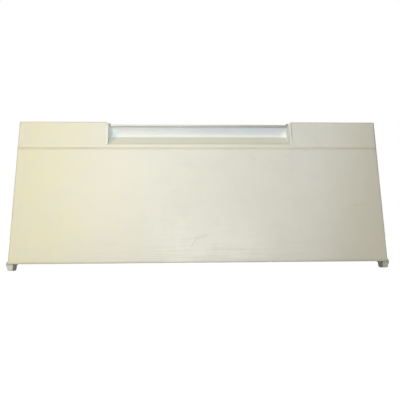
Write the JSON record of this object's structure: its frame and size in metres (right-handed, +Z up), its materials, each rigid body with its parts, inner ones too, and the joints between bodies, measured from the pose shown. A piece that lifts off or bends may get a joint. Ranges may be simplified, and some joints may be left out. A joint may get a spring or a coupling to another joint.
{
  "type": "fridge freezer compartment flap",
  "caption": "Bottom-hinged flap for the freezer compartment of a small refrigerator, with a finger trough in its top edge and a pivot lug at each lower corner",
  "frame": {"origin": "on the hinge axis, midway between the two pivots", "axes": "+X to the right across the door as seen from the front, +Y from the face to the compartment, +Z up; the flap stands closed"},
  "size_m": [0.4056, 0.0247, 0.1597],
  "materials": {
    "front_plastic": "cream moulded plastic with a soft sheen, lightly scuffed",
    "trough_plastic": "off-white moulded plastic, smooth",
    "tray_plastic": "off-white moulded plastic, smooth",
    "foam": "expanded polystyrene, sealed inside",
    "lug_plastic": "cream moulded plastic, satin"
  },
  "bodies": {
    "root": {"front_panel": "front_plastic", "finger_trough": "trough_plastic", "inner_tray": "tray_plastic", "insulation_core": "foam", "left_hinge_lug": "lug_plastic", "right_hinge_lug": "lug_plastic"}
  },
  "joints": []
}
